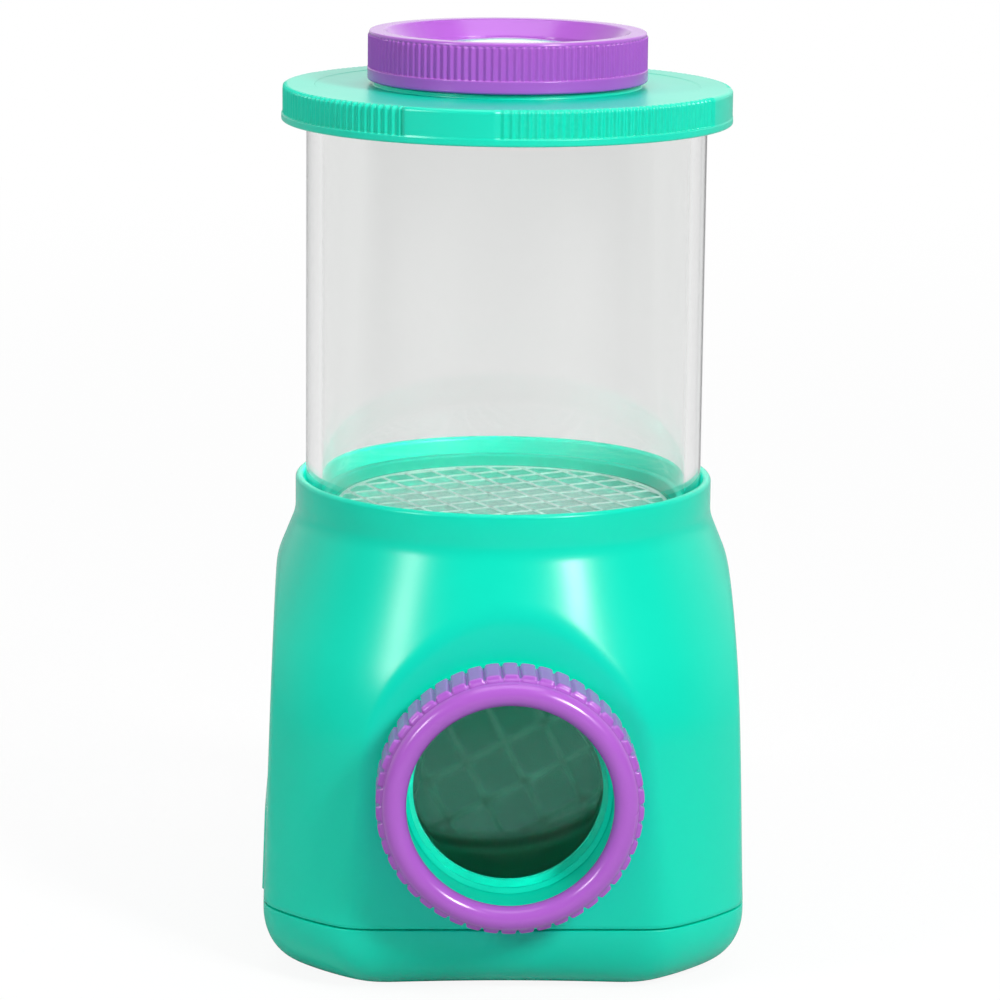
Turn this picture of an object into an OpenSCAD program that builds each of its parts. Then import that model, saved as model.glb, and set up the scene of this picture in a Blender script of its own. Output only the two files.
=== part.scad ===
// Two-way bug viewer: a clear jar with a magnifier in its lid, standing on a square base.
// A mirror in the base shows the underside of the jar through a second magnifier, the port.
// The origin is the middle of the base's underside, +Z is up, and the port faces -Y.

/* [Base] */
// Width across the side flats at the parting line
base_w = 95.6; // [93:0.2:104]
// Depth from the front flat to the back flat at the parting line
base_d = 97.8; // [96:0.2:104]
// Corner radius at the parting line
base_corner_r = 21; // [18:0.5:24]
// Height from the underside to the collar's rim
base_h = 95.6; // [94:0.2:104]
// Height of the bottom pan, up to the parting line
pan_h = 13.6; // [13:0.1:15]
// Round along the pan's lower edge
pan_edge_r = 10; // [7:0.5:12.5]
// Wall of the housing and of the pan
base_wall = 2.2; // [1.6:0.1:2.8]
// Thickness of the pan's floor
pan_floor_t = 3; // [2.6:0.1:4]
// Lean of the four flats from vertical, in degrees
flat_draft = 1.9; // [1.5:0.1:2.2]
// Open line between the housing and the pan
parting_gap = 0.3; // [0.1:0.05:0.5]
// Height of the pan's lip inside the housing
pan_lip_h = 2.5; // [1.5:0.5:4]
// Thickness of the pan's lip
pan_lip_t = 1.5; // [1:0.1:2]

/* [Shoulder and collar] */
// Outer radius of the round collar
collar_r = 42.3; // [42:0.1:44]
// Wall of the collar
collar_wall = 1.7; // [1.4:0.1:2]
// Height of the upright collar above the shoulder
neck_h = 7.7; // [6.5:0.1:8.5]
// Lean of the shoulder from vertical, in degrees
shoulder_lean = 22.3; // [21:0.1:23]
// Height of the shoulder's straight slope
shoulder_h = 20.9; // [18:0.1:23]
// Radius of the curve below that slope, seen from the side
corner_curve_r = 62; // [56:1:70]
// Lean of the corners below that curve, in degrees
corner_lean = 8; // [8:0.1:9.5]
// Depth of the jar's seat under the collar's rim
seat_drop = 9.1; // [8:0.1:11]
// Thickness of the ledge that the jar stands on
ledge_t = 3; // [2:0.2:4]
// Radius of the opening through the ledge
ledge_hole_r = 34.5; // [32:0.5:35.5]

/* [Side pads] */
// Width of the low pad on each side flat
side_pad_w = 44; // [30:1:50]
// Height of the pad above the parting line
side_pad_h = 17.5; // [10:0.5:24]
// How far the pad stands out
side_pad_proud = 0.4; // [0.2:0.1:0.8]
// Corner radius of the pad
side_pad_corner_r = 4; // [2:0.5:6]

/* [Port] */
// Height of the port's axis
port_z = 42; // [41.5:0.5:44]
// Radius of the ring over its grip pads
port_ring_r = 26; // [25.2:0.1:26.6]
// Radius of the ring's front hole
port_hole_r = 20.1; // [19:0.1:20.6]
// Radius of the round bead along the ring's front
port_bead_r = 2.35; // [2:0.05:2.6]
// Depth of the ring, from its back face to its foremost point
port_ring_d = 13.2; // [12:0.2:16]
// How far the ring's back face stands out past the front flat's foot
port_stand = 0.3; // [0.2:0.1:1]
// Outer radius of the barrel that carries the ring
barrel_r = 22.6; // [22:0.1:23]
// Wall of the barrel
barrel_wall = 2.2; // [1.8:0.1:2.4]
// How far the barrel's front end stands out past the ring's back face
barrel_d = 9.8; // [8:0.2:10.2]
// Number of grip pads round the ring
port_pads = 46; // [30:2:60]
// Width of the groove between two pads
port_groove_w = 0.8; // [0.5:0.1:1.2]
// Depth of that groove
port_groove_t = 0.6; // [0.3:0.1:0.8]

/* [Port lens] */
// Thickness of the lens at its middle
port_lens_t = 5; // [3.6:0.2:6]
// Thickness of the lens at its flat rim
port_lens_edge = 2; // [1.4:0.1:2.6]
// Width of that rim
port_lens_rim = 1.9; // [1.8:0.1:2.4]
// How far the lens's front rim lies behind the ring's back face
port_lens_in = 0.2; // [0:0.1:1]
// Thickness of the lens retainer, along the port's axis
port_retainer_t = 1.6; // [1:0.1:2.4]
// Radius of the clear window inside the retainer
port_window_r = 19.5; // [18:0.1:19.7]
// Thickness of the lip behind the lens
barrel_lip_t = 1.8; // [1.2:0.1:2.4]
// Width of that lip, inside the retainer's window
barrel_lip_w = 0.9; // [0.5:0.1:0.9]

/* [Mirror] */
// Width of the mirror
mirror_w = 50; // [44:1:52]
// Length of the mirror up its slope
mirror_l = 82; // [70:1:84]
// Thickness of the mirror glass
mirror_t = 2; // [1.5:0.1:3]
// Thickness of the cradle's sloping plate
cradle_t = 2; // [1.6:0.1:3]
// Width of the lip that holds the mirror's edges
cradle_lip_w = 1.6; // [1:0.1:2.4]
// Thickness of the two upright cheeks
cheek_t = 2.2; // [1.6:0.1:3]
// Distance between the cheeks' middles
cheek_gap = 40; // [34:1:44]
// Thickness of the cradle's foot plate
foot_t = 2; // [1.6:0.1:3]

/* [Jar] */
// Outer radius of the clear tube
jar_r = 40.2; // [39:0.1:40.3]
// Wall of the clear tube
jar_wall = 3.2; // [2.4:0.1:3.6]
// Length of the clear tube
jar_tube_h = 82.8; // [70:0.1:90]
// Thickness of the floor ring's flange under the tube
ring_flange_t = 2; // [1.6:0.1:2.4]
// Height of the floor ring's spigot inside the tube
ring_spigot_h = 4.1; // [3.6:0.1:5]
// Wall of that spigot
ring_spigot_wall = 1.7; // [1.2:0.1:2]
// Thickness of the clear floor
floor_t = 2; // [1.5:0.1:2.4]
// Width of the lip that the floor rests on
floor_lip_w = 1.7; // [1.2:0.1:2.4]
// Thickness of that lip
floor_lip_t = 1.7; // [1.2:0.1:2]

/* [Lid] */
// Radius of the lid over its ribs
lid_r = 45; // [44.4:0.1:48]
// Height of the lid's rim
lid_h = 7.1; // [6:0.1:9]
// Thickness of the lid's flat top
lid_top_t = 2.2; // [1.8:0.1:2.6]
// Inner radius of the lid's skirt
lid_skirt_inner_r = 43.2; // [41:0.1:43.4]
// Thickness of the washer under the lid
liner_t = 1; // [0.8:0.1:1.5]
// Radius of the window in the lid
lid_window_r = 21.6; // [18:0.1:22]
// Outer radius of the low neck that centres the magnifier cap
lid_neck_r = 24.4; // [24:0.1:24.8]
// Wall of that neck
lid_neck_wall = 1.3; // [1:0.1:1.4]
// Height of that neck above the lid's top
lid_neck_h = 2; // [1.6:0.1:2.4]
// Height of the round seat under the cap
lid_seat_h = 0.9; // [0.5:0.1:1.4]
// Radius of that seat
lid_seat_r = 26.8; // [26.2:0.1:27.4]
// Height of the plain band along the rim's lower edge
lid_band_h = 1.3; // [0.8:0.1:2]
// Round along the rim's upper edge
lid_edge_r = 0.9; // [0.4:0.1:1.2]

/* [Magnifier cap] */
// Radius of the cap over its ribs
cap_r = 28; // [27.6:0.1:29]
// Height of the cap
cap_h = 9.9; // [9.6:0.1:11]
// Radius of the opening at the top of the dish
cap_mouth_r = 24.6; // [24:0.1:25]
// Radius of the clear window in the cap
cap_window_r = 21.4; // [20:0.1:21.8]
// Depth of the dish above the lens
cap_dish_h = 3.2; // [2.4:0.1:3.6]
// Thickness of the flange above the lens
cap_flange_t = 1.2; // [0.8:0.1:1.6]
// Round along the cap's upper edge
cap_edge_r = 0.9; // [0.4:0.1:1.2]
// Height of the plain band along the cap's lower edge
cap_band_h = 2.4; // [1.6:0.1:3]
// Inner radius of the cap's skirt
cap_skirt_inner_r = 26; // [25.4:0.1:26.2]

/* [Cap lens] */
// Radius of the lens
top_lens_r = 22.4; // [22:0.1:22.6]
// Thickness of the lens at its middle
top_lens_t = 4.4; // [3.2:0.2:4.6]
// Thickness of the lens at its flat rim
top_lens_edge = 1.8; // [1.4:0.1:2]
// Width of that rim
top_lens_rim = 1.5; // [1.4:0.1:2]
// Thickness of the ring that snaps in under the lens
top_retainer_t = 1.2; // [0.8:0.1:1.4]
// Width of that ring
top_retainer_w = 1.4; // [1:0.1:2]

/* [Grip ribs] */
// Ribs between two smooth panels of the lid
lid_ribs = 32; // [20:1:40]
// Width of each smooth panel of the lid, in degrees
lid_panel_deg = 24.6; // [16:0.2:32]
// Turn of the first smooth panel from the port, in degrees
lid_panel_turn = -16; // [-45:1:45]
// How far a smooth panel stands out past the ribs
lid_panel_proud = 0.15; // [0:0.05:0.4]
// Depth of the lid's ribs
lid_rib_t = 0.5; // [0.3:0.05:0.7]
// Ribs round the magnifier cap
cap_ribs = 120; // [80:2:140]
// Depth of the cap's ribs
cap_rib_t = 0.4; // [0.2:0.05:0.6]
// How far the plain bands under the ribs stand out
band_proud = 0.1; // [0.05:0.05:0.3]

/* [Screws] */
// Distance of each corner screw from the middle, along X and along Y
screw_xy = 32; // [30:0.5:34]
// Outer radius of the posts that take the screws
post_r = 4; // [3.6:0.1:4.6]
// Height of the housing's posts above the parting line
post_h = 14; // [12:1:20]
// Thickness of the web from each post to the corner
web_t = 1.8; // [1.2:0.1:2.4]
// Radius of a screw's shank
screw_r = 1.5; // [1.2:0.1:1.8]
// Radius of a screw's head
screw_head_r = 2.8; // [2.4:0.1:3]
// Height of a screw's head
screw_head_h = 1.8; // [1.4:0.1:2.4]
// Length of a corner screw under its head
screw_l = 18; // [14:1:22]
// Length of a cradle screw under its head
cradle_screw_l = 7; // [5:0.5:9]
// Distance of each cradle screw from the middle, along X
cradle_screw_x = 15; // [12:0.5:17]
// Distance of the cradle screws behind the middle, along Y
cradle_screw_y = 10; // [4:0.5:16]

/* [Clearances] */
// Radial clearance where one piece slips into another
slip = 0.3; // [0.15:0.05:0.4]
// Gap between two flat faces that rest on each other
seat_gap = 0.1; // [0.05:0.05:0.2]
// Radial clearance round a seated lens or ring
lens_gap = 0.15; // [0.05:0.05:0.2]

/* [Hidden] */

$fn = 96;
// Overrun of every cut past the face that it opens
cut = 1;
// Steps along the curve of the base's corners
curve_steps = 6;
// How far the plain body lies under the valleys between two ribs
rib_sink = 0.1;
// Width and height of the whole model, for cuts that have to clear it
reach = base_w + base_h;

// The base
core = [base_w / 2 - base_corner_r, base_d / 2 - base_corner_r];
draft_slope = tan(flat_draft);
neck_z = base_h - neck_h;
seat_z = base_h - seat_drop;
collar_bore_r = collar_r - collar_wall;
ledge_z = seat_z - ledge_t;
housing_z = pan_h + parting_gap / 2;
pan_top_z = pan_h - parting_gap / 2;
shoulder_z = neck_z - shoulder_h;
shoulder_r = collar_r + shoulder_h * tan(shoulder_lean);
corner_z = shoulder_z - corner_curve_r * (sin(shoulder_lean) - sin(corner_lean));
corner_r = shoulder_r + corner_curve_r * (cos(corner_lean) - cos(shoulder_lean));

// The jar, standing on the ledge
ring_z = seat_z + seat_gap;
tube_z = ring_z + ring_flange_t;
tube_top_z = tube_z + jar_tube_h;
jar_bore_r = jar_r - jar_wall;
spigot_r = jar_bore_r - lens_gap;
floor_r = spigot_r - ring_spigot_wall;
floor_z = ring_z + floor_lip_t;

// The lid and the magnifier cap
liner_z = tube_top_z + seat_gap;
lid_under_z = liner_z + liner_t + seat_gap;
lid_top_z = lid_under_z + lid_top_t;
lid_z = lid_top_z - lid_h;
cap_z = lid_top_z + lid_seat_h + seat_gap;
cap_top_z = cap_z + cap_h;
cap_flange_z = cap_top_z - cap_dish_h - cap_flange_t;
top_bore_r = top_lens_r + slip;
top_lens_z = cap_flange_z - seat_gap - top_lens_edge;
top_retainer_z = top_lens_z - seat_gap - top_retainer_t;

// The port, as distances from the jar's axis
port_back = base_d / 2 + port_stand;
port_reach = port_back + port_ring_d;
barrel_reach = port_back + barrel_d;
port_lens_y = port_back - port_lens_in;
port_seat_y = port_back - seat_gap;
port_seat_t = base_wall;
barrel_bore_r = barrel_r - barrel_wall;
port_lens_r = barrel_bore_r - lens_gap;
barrel_lip_y = port_lens_y - port_lens_edge;
bead_y = port_reach - port_bead_r;
bead_ring_r = port_hole_r + port_bead_r;

// The mirror lies at half a right angle, and its face crosses the jar's axis at the port's height
mirror_lean = 45;
foot_z = pan_floor_t + seat_gap;
cradle_w = mirror_w + 2 * (cradle_lip_w + lens_gap);
cradle_l = mirror_l + 2 * (cradle_lip_w + lens_gap);
slope_half = cradle_l / 2 * cos(mirror_lean);
cheek_drop = (mirror_t + seat_gap + cradle_t / 2) / cos(mirror_lean);
screw_sink = screw_head_h + 2 * seat_gap;

// Corner radius of the drafted sides at a height
function corner_at(z) = base_corner_r - (z - pan_h) * draft_slope;

// A block with four round corners and one half profile all the way round.
// The child is that profile, drawn outwards from the corner's axis, between z0 and z1.
module rounded_block(half, z0, z1) {
    for (sx = [-1, 1], sy = [-1, 1])
        translate([sx * half.x, sy * half.y, 0])
            rotate_extrude()
                children();
    for (side = [0, 1])
        rotate([0, 0, 90 * side])
            rotate([90, 0, 0])
                linear_extrude(2 * half[1 - side], center = true) {
                    for (way = [0, 1])
                        mirror([way, 0])
                            translate([half[side], 0])
                                children();
                    translate([-half[side], z0])
                        square([2 * half[side], z1 - z0]);
                }
}

// The half profile of the drafted sides, drawn in by a wall
module drafted_profile(z0, z1, wall) {
    polygon([
        [0, z0],
        [corner_at(z0) - wall, z0],
        [corner_at(z1) - wall, z1],
        [0, z1],
    ]);
}

module drafted_block(z0, z1, wall = 0) {
    rounded_block(core, z0, z1)
        drafted_profile(z0, z1, wall);
}

// The round shoulder and the corners under it, drawn in by a wall all the way down
module bell(z0, z1, wall = 0) {
    curve_x = shoulder_r - corner_curve_r * cos(shoulder_lean);
    curve_z = shoulder_z - corner_curve_r * sin(shoulder_lean);
    curve_step = (shoulder_lean - corner_lean) / curve_steps;
    rotate_extrude()
        polygon(concat(
            [
                [0, z0],
                [corner_r - wall + (corner_z - z0) * tan(corner_lean), z0],
            ],
            [for (i = [0:curve_steps])
                let (a = corner_lean + curve_step * i)
                    [curve_x - wall + corner_curve_r * cos(a), curve_z + corner_curve_r * sin(a)]],
            [
                [collar_r - wall + (neck_z - z1) * tan(shoulder_lean), z1],
                [0, z1],
            ]
        ));
}

// A ring of revolution between two radii and two heights
module ring(inner, outer, z0, z1) {
    translate([0, 0, z0])
        difference() {
            cylinder(r = outer, h = z1 - z0);
            translate([0, 0, -cut])
                cylinder(r = inner, h = z1 - z0 + 2 * cut);
        }
}

// Lays a solid that was drawn along +Z along the port's axis, with +Z towards the front
module on_port() {
    translate([0, 0, port_z])
        rotate([90, 0, 0])
            children();
}

// Places a child at the four corner screws
module at_corners() {
    for (sx = [-1, 1], sy = [-1, 1])
        translate([sx * screw_xy, sy * screw_xy, 0])
            children();
}

// Places a child at the two screws of the mirror cradle
module at_cradle_screws() {
    for (sx = [-1, 1])
        translate([sx * cradle_screw_x, cradle_screw_y, 0])
            children();
}

// A lens with a flat rim and two equal round faces within it, its lower rim at z = 0
module lens(r, rim, middle, edge) {
    dome_r = r - rim;
    sag = (middle - edge) / 2;
    ball = (dome_r * dome_r + sag * sag) / (2 * sag);
    rotate_extrude() {
        square([r, edge]);
        intersection() {
            translate([0, -sag])
                square([dome_r, middle]);
            translate([0, edge + sag - ball])
                circle(r = ball, $fn = 1200);
            translate([0, ball - sag])
                circle(r = ball, $fn = 1200);
        }
    }
}

// The outline of a ring with flat-topped ribs and sharp valleys
module ribbed_outline(r, depth, count) {
    pitch = 360 / count;
    share = [0, 0.25, 0.75];
    high = [0, 1, 1];
    polygon([
        for (i = [0:count - 1], k = [0:len(share) - 1])
            let (a = (i + share[k]) * pitch, rr = r - depth + depth * high[k])
                rr * [cos(a), sin(a)]
    ]);
}

// The lid's outline: four smooth panels, and ribs between them
module lid_outline() {
    pitch = (90 - lid_panel_deg) / lid_ribs;
    root = lid_r - lid_rib_t;
    share = [0, 0.25, 0.75];
    high = [0, 1, 1];
    panel_steps = 10;
    polygon([
        for (q = [0:3])
            let (start = q * 90 - 90 + lid_panel_turn - lid_panel_deg / 2)
                each concat(
                    [for (i = [0:panel_steps])
                        let (a = start + lid_panel_deg * i / panel_steps)
                            (lid_r + lid_panel_proud) * [cos(a), sin(a)]],
                    [for (i = [0:lid_ribs - 1], k = [0:len(share) - 1])
                        let (a = start + lid_panel_deg + (i + share[k]) * pitch,
                            rr = root + lid_rib_t * high[k])
                            rr * [cos(a), sin(a)]]
                )
    ]);
}

// The port ring's outline: flat pads with a groove between each two
module port_outline() {
    pitch = 360 / port_pads;
    groove = port_groove_w / port_ring_r * 180 / PI;
    floor_share = 0.5;
    polygon([
        for (i = [0:port_pads - 1])
            let (a = i * pitch)
                each [
                    (port_ring_r - port_groove_t) * [cos(a - groove * floor_share / 2), sin(a - groove * floor_share / 2)],
                    (port_ring_r - port_groove_t) * [cos(a + groove * floor_share / 2), sin(a + groove * floor_share / 2)],
                    port_ring_r * [cos(a + groove / 2), sin(a + groove / 2)],
                    port_ring_r * [cos(a + pitch / 2), sin(a + pitch / 2)],
                    port_ring_r * [cos(a + pitch - groove / 2), sin(a + pitch - groove / 2)],
                ]
    ]);
}

// The square base shell with its round collar, the seat for the port and the corner posts
module base_housing() {
    color("mediumspringgreen")
    difference() {
        union() {
            intersection() {
                drafted_block(housing_z, neck_z);
                bell(housing_z, neck_z);
            }
            ring(ledge_hole_r, collar_r, ledge_z, base_h - collar_wall / 2);
            translate([0, 0, base_h - collar_wall / 2])
                rotate_extrude()
                    translate([collar_r - collar_wall / 2, 0])
                        circle(r = collar_wall / 2, $fn = 32);
            side_pads();
            on_port()
                translate([0, 0, port_seat_y - port_seat_t])
                    cylinder(r = port_ring_r - port_groove_t, h = port_seat_t);
        }
        intersection() {
            drafted_block(housing_z - cut, ledge_z, base_wall);
            bell(housing_z - cut, ledge_z, base_wall);
        }
        translate([0, 0, seat_z])
            cylinder(r = collar_bore_r, h = base_h - seat_z + cut);
        translate([0, 0, ledge_z - cut])
            cylinder(r = ledge_hole_r, h = ledge_t + 2 * cut);
        on_port()
            cylinder(r = barrel_r + lens_gap, h = reach);
    }
    color("mediumspringgreen")
    intersection() {
        housing_posts();
        drafted_block(housing_z, neck_z, base_wall / 2);
        bell(housing_z, neck_z, base_wall / 2);
    }
}

// The barrel set into the housing's front: it carries the ring outside and the lens inside
module port_barrel() {
    back_y = barrel_lip_y - barrel_lip_t;
    color("mediumspringgreen")
    on_port()
        difference() {
            translate([0, 0, back_y])
                cylinder(r = barrel_r, h = barrel_reach - back_y);
            translate([0, 0, barrel_lip_y])
                cylinder(r = barrel_bore_r, h = barrel_reach - barrel_lip_y + cut);
            translate([0, 0, back_y - cut])
                cylinder(r = port_window_r - barrel_lip_w, h = barrel_lip_t + 2 * cut);
        }
}

// The low pads on the two side flats
module side_pads() {
    pad_top_z = housing_z + side_pad_h;
    intersection() {
        drafted_block(housing_z, pad_top_z + cut, -side_pad_proud);
        rotate([90, 0, 90])
            linear_extrude(reach, center = true)
                union() {
                    translate([-side_pad_w / 2, housing_z])
                        square([side_pad_w, side_pad_h - side_pad_corner_r]);
                    translate([side_pad_corner_r - side_pad_w / 2, housing_z])
                        square([side_pad_w - 2 * side_pad_corner_r, side_pad_h]);
                    for (side = [-1, 1])
                        translate([side * (side_pad_w / 2 - side_pad_corner_r), pad_top_z - side_pad_corner_r])
                            circle(r = side_pad_corner_r);
                }
    }
}

// Corner posts with a web to each corner, and a blind hole for each screw
module housing_posts() {
    post_z = pan_h;
    difference() {
        union() {
            at_corners()
                translate([0, 0, post_z])
                    cylinder(r = post_r, h = post_h);
            for (turn = [0:3])
                rotate([0, 0, 45 + 90 * turn])
                    translate([screw_xy * sqrt(2), -web_t / 2, housing_z + pan_lip_h + pan_lip_t])
                        cube([reach, web_t, post_h - pan_lip_h - pan_lip_t]);
        }
        at_corners()
            translate([0, 0, post_z - cut])
                cylinder(r = screw_r + seat_gap, h = screw_l / 2 + cut);
    }
}

// The half profile of the pan: upright sides and a round lower edge, drawn in by a wall
module pan_profile(z0, z1, wall) {
    r = pan_edge_r - wall;
    side = base_corner_r - wall;
    difference() {
        translate([0, z0])
            square([side, z1 - z0]);
        translate([side - r, z0])
            difference() {
                translate([0, -cut])
                    square([r + cut, r + cut]);
                translate([0, r])
                    circle(r = r, $fn = 64);
            }
    }
}

// The tray under the housing, with its lip, its screw pillars and the rails for the cradle
module bottom_pan() {
    lip_wall = base_wall + lens_gap;
    color("mediumspringgreen")
    difference() {
        union() {
            difference() {
                union() {
                    pan_block(0, pan_top_z, 0);
                    pan_lip(lip_wall, pan_top_z - pan_lip_h, pan_top_z + pan_lip_h);
                }
                pan_block(pan_floor_t, pan_top_z - pan_lip_h, base_wall);
                pan_lip(lip_wall + pan_lip_t, pan_top_z - pan_lip_h - cut, pan_top_z + pan_lip_h + cut);
            }
            at_corners()
                translate([0, 0, pan_floor_t / 2])
                    cylinder(r = post_r, h = pan_h - pan_floor_t / 2);
        }
        at_corners() {
            translate([0, 0, -cut])
                cylinder(r = screw_head_r + slip, h = screw_sink + cut);
            cylinder(r = screw_r + seat_gap, h = reach);
        }
        at_cradle_screws() {
            translate([0, 0, -cut])
                cylinder(r = screw_r + seat_gap, h = pan_floor_t + 2 * cut);
            translate([0, 0, -cut])
                cylinder(r = screw_head_r + slip, h = screw_sink + cut);
        }
    }
}

// A prism with the pan's plan and its round lower edge
module pan_block(z0, z1, wall) {
    rounded_block(core, z0, z1)
        pan_profile(z0, z1, wall);
}

// A prism with the pan's plan and upright sides
module pan_lip(wall, z0, z1) {
    rounded_block(core, z0, z1)
        translate([0, z0])
            square([base_corner_r - wall, z1 - z0]);
}

module screw(length) {
    cylinder(r = screw_head_r, h = screw_head_h);
    cylinder(r = screw_r, h = screw_head_h + length);
}

module pan_screws() {
    color("silver")
    at_corners()
        translate([0, 0, seat_gap])
            screw(screw_l);
}

module cradle_screws() {
    color("silver")
    at_cradle_screws()
        translate([0, 0, seat_gap])
            screw(cradle_screw_l);
}

// Tilts a child from level to the mirror's slope. Level z = 0 becomes the mirror's face.
module on_slope() {
    translate([0, 0, port_z])
        rotate([mirror_lean, 0, 0])
            children();
}

// The carrier that holds the mirror at its slope: plate, lip, cheeks and foot
module mirror_cradle() {
    plate_z = -mirror_t - seat_gap - cradle_t;
    color("dimgray")
    difference() {
        union() {
            on_slope()
                difference() {
                    translate([-cradle_w / 2, -cradle_l / 2, plate_z])
                        cube([cradle_w, cradle_l, cradle_t + seat_gap + mirror_t]);
                    translate([-cradle_w / 2 + cradle_lip_w, -cradle_l / 2 + cradle_lip_w, plate_z + cradle_t])
                        cube([cradle_w - 2 * cradle_lip_w, cradle_l - 2 * cradle_lip_w, reach]);
                }
            for (side = [-1, 1])
                translate([side * cheek_gap / 2, 0, 0])
                    cheek();
            translate([-cheek_gap / 2, cheek_front_y(), foot_z])
                cube([cheek_gap, slope_half - cheek_front_y(), foot_t]);
            at_cradle_screws()
                translate([0, 0, foot_z])
                    cylinder(r = post_r, h = cradle_screw_l);
        }
        at_cradle_screws()
            translate([0, 0, foot_z - cut])
                cylinder(r = screw_r + seat_gap, h = cradle_screw_l + cut - foot_t / 2);
    }
}

// Where the cheek's sloping edge meets the foot
function cheek_front_y() = foot_z + foot_t + cheek_drop - port_z;

// One upright triangle under the sloping plate
module cheek() {
    top_z = port_z + slope_half - cheek_drop;
    rotate([90, 0, 90])
        linear_extrude(cheek_t, center = true)
            polygon([
                [cheek_front_y(), foot_z],
                [slope_half, foot_z],
                [slope_half, top_z],
                [cheek_front_y(), foot_z + foot_t],
            ]);
}

module mirror_glass() {
    color("lightgray")
    on_slope()
        translate([-mirror_w / 2, -mirror_l / 2, -mirror_t])
            cube([mirror_w, mirror_l, mirror_t]);
}

module port_lens() {
    color("azure", 0.4)
    on_port()
        translate([0, 0, barrel_lip_y])
            lens(port_lens_r, port_lens_rim, port_lens_t, port_lens_edge);
}

// The ring that holds the port's lens against the barrel's lip, with a sloping front
module port_lens_retainer() {
    flare_share = 0.4;
    color("mediumspringgreen")
    on_port()
        translate([0, 0, port_lens_y + seat_gap])
            rotate_extrude()
                polygon([
                    [port_window_r, 0],
                    [barrel_bore_r - lens_gap / 2, 0],
                    [barrel_bore_r - lens_gap / 2, port_retainer_t],
                    [port_window_r, port_retainer_t * flare_share],
                ]);
}

// The ribbed ring round the port, with a round bead in front
module port_ring() {
    bore_r = barrel_r + slip;
    shelf_y = barrel_reach + slip;
    color("mediumorchid")
    on_port()
        difference() {
            union() {
                fading_ribs(port_ring_r, bead_ring_r + port_bead_r, port_back, bead_y)
                    port_outline();
                translate([0, 0, port_back])
                    cylinder(r = bead_ring_r + port_bead_r, h = bead_y - port_back);
                translate([0, 0, bead_y])
                    rotate_extrude()
                        translate([bead_ring_r, 0])
                            circle(r = port_bead_r, $fn = 48);
            }
            translate([0, 0, port_back - cut])
                cylinder(r = bore_r, h = shelf_y - port_back + cut);
            translate([0, 0, port_back - cut])
                cylinder(r = port_hole_r, h = bead_y - port_back + cut);
        }
}

module jar_tube() {
    color("white", 0.3)
    ring(jar_bore_r, jar_r, tube_z, tube_top_z);
}

// The ring under the tube: a flange, a spigot inside the tube and a lip for the floor
module floor_ring() {
    color("mediumspringgreen")
    rotate_extrude()
        polygon([
            [floor_r - floor_lip_w, ring_z],
            [jar_r, ring_z],
            [jar_r, tube_z],
            [spigot_r, tube_z],
            [spigot_r, tube_z + ring_spigot_h],
            [floor_r, tube_z + ring_spigot_h],
            [floor_r, floor_z],
            [floor_r - floor_lip_w, floor_z],
        ]);
}

module jar_floor() {
    color("white", 0.4)
    translate([0, 0, floor_z])
        cylinder(r = floor_r - lens_gap, h = floor_t);
}

module lid_liner() {
    color("whitesmoke")
    ring(jar_bore_r, jar_r, liner_z, liner_z + liner_t);
}

// Ribs that fade out below a height, over a plain body of the given radius
module fading_ribs(outer, body, z0, z1) {
    fade = outer - body + rib_sink;
    intersection() {
        translate([0, 0, z0])
            linear_extrude(z1 - z0)
                children();
        union() {
            translate([0, 0, z0 - cut])
                cylinder(r = outer + cut, h = z1 - z0 + cut - fade - cut);
            translate([0, 0, z1 - fade - cut])
                cylinder(r1 = outer + cut, r2 = body - rib_sink, h = fade + cut);
        }
    }
}

// The screw-on lid: a flat top, a ribbed rim and the neck for the magnifier cap
module jar_lid() {
    rib_z = lid_z + lid_band_h / 2;
    rib_top_z = lid_top_z - lid_edge_r;
    body_r = lid_r - lid_rib_t - rib_sink;
    color("mediumspringgreen")
    difference() {
        union() {
            fading_ribs(lid_r + lid_panel_proud, body_r, rib_z, rib_top_z)
                lid_outline();
            rotate_extrude() {
                translate([0, lid_z])
                    square([lid_r + lid_panel_proud + band_proud, lid_band_h]);
                difference() {
                    translate([0, lid_z])
                        square([body_r, lid_h]);
                    edge_cut(body_r, lid_top_z, lid_edge_r);
                }
                translate([0, lid_under_z])
                    square([lid_seat_r, lid_top_t + lid_seat_h]);
                translate([0, lid_under_z])
                    square([lid_neck_r, lid_top_t + lid_neck_h]);
            }
        }
        translate([0, 0, lid_z - cut])
            cylinder(r = lid_skirt_inner_r, h = lid_under_z - lid_z + cut);
        translate([0, 0, lid_under_z - cut])
            cylinder(r = lid_window_r, h = reach);
        translate([0, 0, lid_top_z])
            cylinder(r = lid_neck_r - lid_neck_wall, h = lid_neck_h + cut);
    }
}

// What is cut off a profile's upper outer corner to leave it round
module edge_cut(r, top_z, edge) {
    translate([r - edge, top_z - edge])
        difference() {
            square([edge + cut, edge + cut]);
            circle(r = edge, $fn = 32);
        }
}

module top_lens() {
    color("azure", 0.4)
    translate([0, 0, top_lens_z])
        lens(top_lens_r, top_lens_rim, top_lens_t, top_lens_edge);
}

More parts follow.
